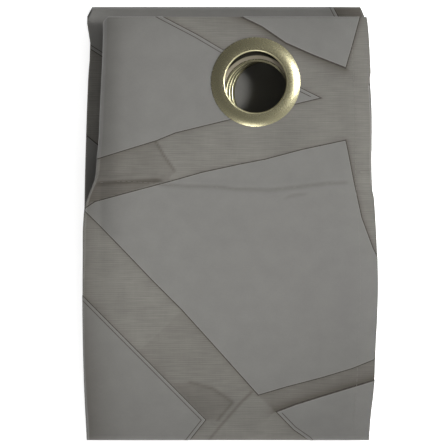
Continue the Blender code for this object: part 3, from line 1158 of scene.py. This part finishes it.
class CurtainClothSettings(bpy.types.PropertyGroup):
    """Sizes and colours of the cloth."""

    ground_colour: colour("Ground colour", "Colour of the sheer ground", linear_colour(101, 99, 94))
    block_colour: colour("Block colour", "Colour of the closely woven blocks", linear_colour(101, 100, 97))
    edge_colour: colour(
        "Block edge colour", "Colour of the dark line round each block", linear_colour(60, 56, 51))
    front_spacing: length(
        "Front mesh spacing", "Distance between mesh lines on the top ply", 0.00125, 0.0005)
    outer_spacing: length(
        "Outer mesh spacing", "Distance between mesh lines on the other outer plies", 0.005, 0.002)
    inner_spacing: length(
        "Inner mesh spacing", "Distance between mesh lines on the plies inside a leaf", 0.012, 0.004)
    side_hem_width: length(
        "Side hem width", "Width of the turned side edges", width_of("side_hem_front_1"), 0.004)


class CurtainEyeletSettings(bpy.types.PropertyGroup):
    """Sizes and colours of the eyelets."""

    bore_radius: length("Bore radius", "Inner radius of the eyelets", 0.020, 0.005)
    outer_radius: length(
        "Outer radius", "Outer radius of the eyelet rings", width_of("eyelet_front_1") / 2, 0.006)
    metal_colour: colour("Metal colour", "Colour of the plated metal", linear_colour(152, 147, 119))
    washer_colour: colour("Washer colour", "Colour of the dull back rings", linear_colour(112, 106, 93))
    roughness: FloatProperty(
        name="Roughness", description="How satin the metal is", default=0.27, min=0.05, max=1,
        subtype="FACTOR")
    segments: IntProperty(name="Segments", description="Sides of each turned ring", default=128, min=24)


class CurtainStageSettings(bpy.types.PropertyGroup):
    """Camera, light and floor."""

    camera_height: length("Camera height", "Height of the camera above the floor", 5.0, 0.5)
    frame_width: length(
        "Frame width", "Width of the view at the height of the top leaf's base", 0.2952, 0.1)
    side_power: power("Side light", "Power of the soft light from the side", 5)
    key_power: power("Key light", "Power of the soft pool of light on the pack", 262)
    sky_strength: FloatProperty(
        name="Surround", description="Strength of the light from all round", default=0.68, min=0)
    floor_glow: FloatProperty(
        name="Floor glow", description="Light of the lit floor itself, which keeps the shadow pale",
        default=0.62, min=0)
    floor_colour: colour("Floor colour", "Colour of the plain floor", (0.93, 0.93, 0.93))


# Pieces ------------------------------------------------------------------------------------------


def outer_ply(settings, side, fold):
    """Builds one piece of the front or back ply, from the middle of a leaf to the middle of the next."""
    front = side == "front"
    on_top = front and fold == 1
    coarse = settings.outer_spacing
    spacing = settings.front_spacing if on_top else coarse
    reach = 1.5 * spacing if on_top else 1.2 * spacing
    columns = outer_columns(front, settings.side_hem_width, spacing)
    bm = cloth_bmesh(ply_rows(columns, fold, spacing, coarse))
    weave_blocks(bm, FRONT_PATTERN if front else BACK_PATTERN, 1 if front else PLEATS, reach)
    if on_top:
        shade_ground(bm, VEILS, GHOST_LINES)
    elif fold == 2 and not front:
        shade_ground(bm, BACK_VEILS, ())
    obj = finish_cloth(f"{side}_ply_{fold}", bm, cloth_materials(settings), on_top)
    blend_over(obj, fold)
    settle(obj)
    return obj


class CURTAIN_OT_front_ply(bpy.types.Operator):
    """Builds the front ply of every leaf, with its blocks, side hem and the turned header of the top one"""

    bl_idname = "curtain.front_ply"
    bl_label = "Front ply"

    def execute(self, context):
        for fold in range(1, LEAVES):
            obj = outer_ply(context.scene.curtain_cloth, "front", fold)
            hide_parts(f"side_hem_front_{fold}", f"cloth_leaf_{fold}")
        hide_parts(f"side_hem_front_{LEAVES}", f"cloth_leaf_{LEAVES}")
        return {"FINISHED"}


class CURTAIN_OT_back_ply(bpy.types.Operator):
    """Builds the back ply of every leaf, with its woven blocks, side hem and bottom hem"""

    bl_idname = "curtain.back_ply"
    bl_label = "Back ply"

    def execute(self, context):
        for fold in range(1, LEAVES):
            obj = outer_ply(context.scene.curtain_cloth, "back", fold)
            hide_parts(f"side_hem_back_{fold}")
        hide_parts(f"side_hem_back_{LEAVES}", "bottom_hem")
        return {"FINISHED"}


# Spacing of mesh lines in the inner plies of the header, and below it and on the tape.
HEADER_SPACING = 0.004
BELOW_SPACING = 0.006


class CURTAIN_OT_inner_plies(bpy.types.Operator):
    """Builds the six plies inside every leaf, one strip of cloth to a leaf"""

    bl_idname = "curtain.inner_plies"
    bl_label = "Inner plies"

    def execute(self, context):
        settings = context.scene.curtain_cloth
        materials = cloth_materials(settings)
        spacing = settings.inner_spacing
        for leaf in range(1, LEAVES + 1):
            columns = inner_columns(HEADER_SPACING if leaf == 1 else spacing)
            rows = Rows(columns)
            down = -FOLD_Y if leaf % 2 else FOLD_Y
            if leaf == 1:
                rows.header(HEADER_SPACING)
                rows.flat(1, HEADER_LOW_Y - HEADER_SPACING, down, BELOW_SPACING)
            else:
                rows.bend(leaf - 1, math.pi / 2, LOOP_END, 4)
                rows.flat(leaf, -down, down if leaf < LEAVES else HEM_END_Y - HEM_DROP / 2, spacing)
            if leaf < LEAVES:
                rows.bend(leaf, LOOP_START, math.pi / 2, 4)
            else:
                rows.bottom_hem(spacing)
            obj = finish_cloth(f"inner_plies_{leaf}", cloth_bmesh(rows), materials)
            settle(obj)
            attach(obj, f"leaf_{leaf}")
            if leaf == 1:
                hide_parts("header_cloth")
        return {"FINISHED"}


class CURTAIN_OT_header_tape(bpy.types.Operator):
    """Builds the stiff tape inside the turned header"""

    bl_idname = "curtain.header_tape"
    bl_label = "Header tape"

    def execute(self, context):
        weave = (900, 200, 0.58, 0.0016, 0.3, 0.15)
        tape = woven_material("tape_weave", (0.52, 0.51, 0.47), weave, (120, 0.08), 0.6, 0.9)
        columns = pleated_columns(1, PLEATS, BELOW_SPACING)
        rows = Rows(columns)
        for y in spaced(HEADER_TOP_Y - TAPE_TOP_INSET, HEADER_LOW_Y + TAPE_INSET, BELOW_SPACING):
            rows.add(leaf_row(columns, 1, y, 0.0), drop_at(1, y), 1, 0.0)
        obj = finish_cloth("header_tape_strip", cloth_bmesh(rows), [tape])
        settle(obj)
        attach(obj, "leaf_1")
        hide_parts("header_tape")
        return {"FINISHED"}


def turned_ring(name, profile, segments, materials, lip):
    """A smooth turned ring from a closed outline of (radius, height) points.

    materials are those of its face, of the points in the lip's range (a painted highlight on a lip, a
    painted shadow on a washer's outer part), and of its neck from there on (painted shade).
    """
    bm = bmesh.new()
    turns = []
    for step in range(segments):
        angle = 2 * math.pi * step / segments
        turns.append([bm.verts.new((r * math.cos(angle), r * math.sin(angle), z)) for r, z in profile])
    past_lip = 2 if len(materials) > 2 else 0
    for turn, following in zip(turns, turns[1:] + turns[:1]):
        for i in range(len(profile)):
            j = (i + 1) % len(profile)
            face = bm.faces.new((turn[i], turn[j], following[j], following[i]))
            face.smooth = True
            face.material_index = 1 if lip[0] <= i < lip[1] else past_lip if i >= lip[1] else 0
    bmesh.ops.recalc_face_normals(bm, faces=bm.faces)
    mesh = mesh_of(name, bm)
    mesh.set_sharp_from_angle(angle=math.radians(60))
    return add_object(name, mesh, materials)


RIM_HEIGHT = 0.00030
RIM_ROUNDING = 0.00012
LIP_SIZE = 0.0010
NECK_WALL = 0.0012
BACK_BORE_GAP = 0.0017
BACK_RIM_HEIGHT = 0.0002


def front_ring_outline(settings, height, back_height):
    """A face that rises from the rim to a crest near the bore, a small rolled lip, and the neck down."""
    outer, bore = settings.outer_radius, settings.bore_radius
    crest = bore + LIP_SIZE
    points = [
        (bore + NECK_WALL, RING_FOOT), (outer - RIM_HEIGHT, RING_FOOT), (outer, RING_FOOT + RIM_ROUNDING)]
    for step in range(15):
        share = step / 14
        rise = (height - RIM_HEIGHT) * (1 - (1 - share) ** 2.3)
        points.append((outer - (outer - crest) * share, RING_FOOT + RIM_HEIGHT + rise))
    # From here to the bore, the lip takes the plate with the painted highlight.
    lip = len(points) - 1
    for step in range(1, 7):
        angle = math.pi / 2 * step / 6
        fall = LIP_SIZE * (1 - math.cos(angle))
        points.append((crest - (crest - bore) * math.sin(angle), RING_FOOT + height - fall))
    end = len(points) - 1
    foot = -(RING_FOOT + back_height)
    points += [(bore, RING_FOOT * 0.5), (bore, foot), (bore + NECK_WALL, foot)]
    return points, (lip, end)


def back_ring_outline(settings, height):
    """A rounded washer, given as it lies under the cloth."""
    inner, outer = settings.bore_radius + BACK_BORE_GAP, settings.outer_radius
    points = [(inner, RING_FOOT), (outer, RING_FOOT)]
    for step in range(11):
        share = step / 10
        rise = (height - BACK_RIM_HEIGHT) * math.sin(math.pi * (0.06 + 0.86 * share)) ** 0.7
        points.append((outer + (inner - outer) * share, RING_FOOT + BACK_RIM_HEIGHT + rise))
    # Points 1 to 8, the washer's outer part, take the darkest plate, a painted shadow under the ring above.
    return [(r, -z) for r, z in points], (1, 9)


class CURTAIN_OT_eyelets(bpy.types.Operator):
    """Builds the front and back ring of every eyelet"""

    bl_idname = "curtain.eyelets"
    bl_label = "Eyelets"

    def execute(self, context):
        settings = context.scene.curtain_eyelets
        colour, dull_colour = tuple(settings.metal_colour), tuple(settings.washer_colour)
        plate = (
            metal_material("satin_plate", colour, settings.roughness, 0.02),
            # The lip and the neck are a lit and a shaded copy of the plate: a painted highlight and painted
            # shade.
            metal_material("lip_painted_highlight", scaled(colour, 1.7), 0.34, 0.03),
            metal_material("dull_neck_painted_shade", scaled(colour, 0.35), 0.62, 0.05),
        )
        washer = (
            metal_material("washer_plate", dull_colour, 0.55, 0.05),
            # The washer's rim is a dark copy of its plate: a painted shadow under the ring above.
            metal_material("washer_rim_painted_shadow", scaled(dull_colour, 0.12), 0.7, 0.05),
        )
        low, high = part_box("eyelet_back_1")
        back_height = high.z - low.z
        front_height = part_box("eyelet_front_1")[1].z - TOP_BAND_Z - RING_FOOT
        front = front_ring_outline(settings, front_height, back_height)
        back = back_ring_outline(settings, back_height)
        for ply in range(1, PLEATS + 1):
            segments = settings.segments if ply == 1 else settings.segments // 2
            x, y = EYELETS[ply]
            for node, (points, lip), metals in (("front", front, plate), ("back", back, washer)):
                ring = turned_ring(f"eyelet_ring_{node}_{ply}", points, segments, metals, lip)
                ring.location = (x, y, BAND_Z[ply])
                ring.rotation_euler.x = 0.0 if ply % 2 else math.pi
                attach(ring, "leaf_1")
                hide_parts(f"eyelet_{node}_{ply}")
        return {"FINISHED"}


THREAD_RADIUS = 0.00009
STITCH_LENGTH = 0.0026
STITCH_PITCH = 0.0036
THREAD_SIDES = 6


def add_stitch(bm, start, end):
    """One stitch: a short thread that dips into the cloth at both ends."""
    up = Vector((0, 0, 1))
    along = end - start
    side = along.cross(up).normalized()
    rings = []
    for step in range(5):
        t = step / 4
        lift = THREAD_RADIUS * (0.9 - 3.2 * (t - 0.5) ** 2)
        centre = start + along * t + up * lift
        thick = THREAD_RADIUS * (1.0 - 1.6 * (t - 0.5) ** 2)
        angles = [2 * math.pi * corner / THREAD_SIDES for corner in range(THREAD_SIDES)]
        rings.append([
            bm.verts.new(centre + side * thick * math.cos(a) + up * thick * math.sin(a)) for a in angles])
    for ring, following in zip(rings, rings[1:]):
        for i in range(THREAD_SIDES):
            j = (i + 1) % THREAD_SIDES
            bm.faces.new((ring[i], ring[j], following[j], following[i])).smooth = True
    bm.faces.new(rings[0])
    bm.faces.new(rings[-1])


def sew(name, start, end, point_at, thread):
    """A row of stitches on the top ply: point_at gives the place of the thread at each value on its way."""
    bm = bmesh.new()
    way = math.copysign(1, end - start)
    at = start
    while (end - at) * way > 0:
        add_stitch(bm, point_at(at), point_at(at + way * STITCH_LENGTH))
        at += way * STITCH_PITCH
    bmesh.ops.recalc_face_normals(bm, faces=bm.faces)
    obj = add_object(name, mesh_of(name, bm), [thread])
    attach(obj, "leaf_1")


class CURTAIN_OT_stitching(bpy.types.Operator):
    """Sews the side hem and the header seam of the top ply"""

    bl_idname = "curtain.stitching"
    bl_label = "Stitching"

    def execute(self, context):
        hem_line = context.scene.curtain_cloth.side_hem_width
        thread = plain_material("sewing_thread", linear_colour(104, 102, 96), 0.6)

        def on_side_hem(y):
            x = pack_right(y) - hem_line + 0.0015
            return Vector((x, y, front_surface(x, y) + 0.00010))

        def on_seam(x):
            y = seam_line(x)
            return Vector((x, y, front_surface(x, y) + 0.00006))

        sew("side_hem_stitching", HEADER_TOP_Y - 0.003, -FOLD_Y + 0.008, on_side_hem, thread)
        sew("header_seam_stitching", flap_left(HEADER_LOW_Y) + 0.006, pack_right(HEADER_LOW_Y) - 0.016,
            on_seam, thread)
        return {"FINISHED"}


def studio_surround(strength):
    """Soft light from all round: dim overhead, and brightest low down on the right and front sides."""
    world = bpy.data.worlds.new("studio")
    world.use_nodes = True
    shading = Shading(world.node_tree)
    direction = shading.add("TexCoord", {}).outputs["Generated"]
    towards = [
        shading.add("VectorMath", {0: direction, 1: way}, operation="DOT_PRODUCT").outputs["Value"]
        for way in ((0.86, -0.46, 0.22), (0.0, 0.0, 1.0))]
    side = shading.add("MapRange", {"Value": towards[0], "From Min": -1.0, "To Min": 0.05, "To Max": 2.2})
    overhead = shading.add("MapRange", {
        "Value": towards[1], "From Min": 0.45, "From Max": 1.0, "To Min": 1.0, "To Max": 0.26})
    level = strength
    for part in (side, overhead):
        product = shading.add("Math", {0: part.outputs["Result"], 1: level}, operation="MULTIPLY")
        level = product.outputs["Value"]
    shading.fill(shading.nodes["Background"], {"Color": (*WHITE, 1), "Strength": level})
    return world


def add_light(name, kind, place, target, power, **shape):
    """A light that points at a target; shape holds the settings of its size and edge."""
    light = bpy.data.lights.new(name, kind)
    light.energy = power
    for setting, value in shape.items():
        setattr(light, setting, value)
    lamp = add_object(name, light)
    lamp.location = place
    lamp.rotation_euler = (Vector(target) - Vector(place)).to_track_quat("-Z", "Y").to_euler()


FLOOR_HALF = 60.0
FLOOR_Z = -0.0002
SENSOR_WIDTH = 36.0


class CURTAIN_OT_stage(bpy.types.Operator):
    """Sets up the floor, the soft light and the camera straight above the pack"""

    bl_idname = "curtain.stage"
    bl_label = "Stage"

    def execute(self, context):
        settings = context.scene.curtain_stage
        mesh = bpy.data.meshes.new("floor")
        corners = [(x * FLOOR_HALF, y * FLOOR_HALF, 0) for x, y in ((-1, -1), (1, -1), (1, 1), (-1, 1))]
        mesh.from_pydata(corners, [], [(0, 1, 2, 3)])
        pale = plain_material("pale_floor", tuple(settings.floor_colour), 0.9, settings.floor_glow)
        floor = add_object("floor", mesh, [pale])
        floor.location.z = FLOOR_Z
        context.scene.world = studio_surround(settings.sky_strength)
        context.scene.view_settings.view_transform = "Standard"
        add_light("side_light", "AREA", (-0.10, -1.05, 1.15), (0, 0, 0), settings.side_power,
                  shape="DISK", size=0.5)
        add_light("key_light", "SPOT", (0.76, 0.13, 1.33), (-0.034, 0.026, 0.045), settings.key_power,
                  shadow_soft_size=0.20, spot_size=math.radians(11.8), spot_blend=1.0)
        camera = bpy.data.cameras.new("camera")
        camera.sensor_width = SENSOR_WIDTH
        camera.lens = SENSOR_WIDTH * (settings.camera_height - TOP_LEAF_BASE) / settings.frame_width
        camera.clip_start, camera.clip_end = 0.1, 200.0
        rig = add_object("camera", camera)
        rig.location = (-0.00395, -0.0003, settings.camera_height)
        context.scene.camera = rig
        return {"FINISHED"}


class CURTAIN_PT_panel(bpy.types.Panel):
    """Lists the pieces and the sizes of the curtain"""

    bl_label = "Curtain"
    bl_idname = "CURTAIN_PT_panel"
    bl_space_type = "VIEW_3D"
    bl_region_type = "UI"
    bl_category = "Curtain"

    def draw(self, context):
        layout = self.layout
        for settings in ("curtain_cloth", "curtain_eyelets", "curtain_stage"):
            group = getattr(context.scene, settings)
            box = layout.box()
            for name in group.__annotations__:
                box.prop(group, name)
        for operator in PIECES:
            layout.operator(operator.bl_idname)


PIECES = (
    CURTAIN_OT_inner_plies,
    CURTAIN_OT_front_ply,
    CURTAIN_OT_back_ply,
    CURTAIN_OT_header_tape,
    CURTAIN_OT_eyelets,
    CURTAIN_OT_stitching,
    CURTAIN_OT_stage,
)
SETTINGS = (CurtainClothSettings, CurtainEyeletSettings, CurtainStageSettings)


def register():
    for cls in SETTINGS + PIECES + (CURTAIN_PT_panel,):
        bpy.utils.register_class(cls)
    bpy.types.Scene.curtain_cloth = PointerProperty(type=CurtainClothSettings)
    bpy.types.Scene.curtain_eyelets = PointerProperty(type=CurtainEyeletSettings)
    bpy.types.Scene.curtain_stage = PointerProperty(type=CurtainStageSettings)


def unregister():
    del bpy.types.Scene.curtain_stage
    del bpy.types.Scene.curtain_eyelets
    del bpy.types.Scene.curtain_cloth
    for cls in reversed(SETTINGS + PIECES + (CURTAIN_PT_panel,)):
        bpy.utils.unregister_class(cls)


def main():
    register()
    for piece in PIECES:
        group, name = piece.bl_idname.split(".")
        getattr(getattr(bpy.ops, group), name)()


if __name__ == "__main__":
    main()
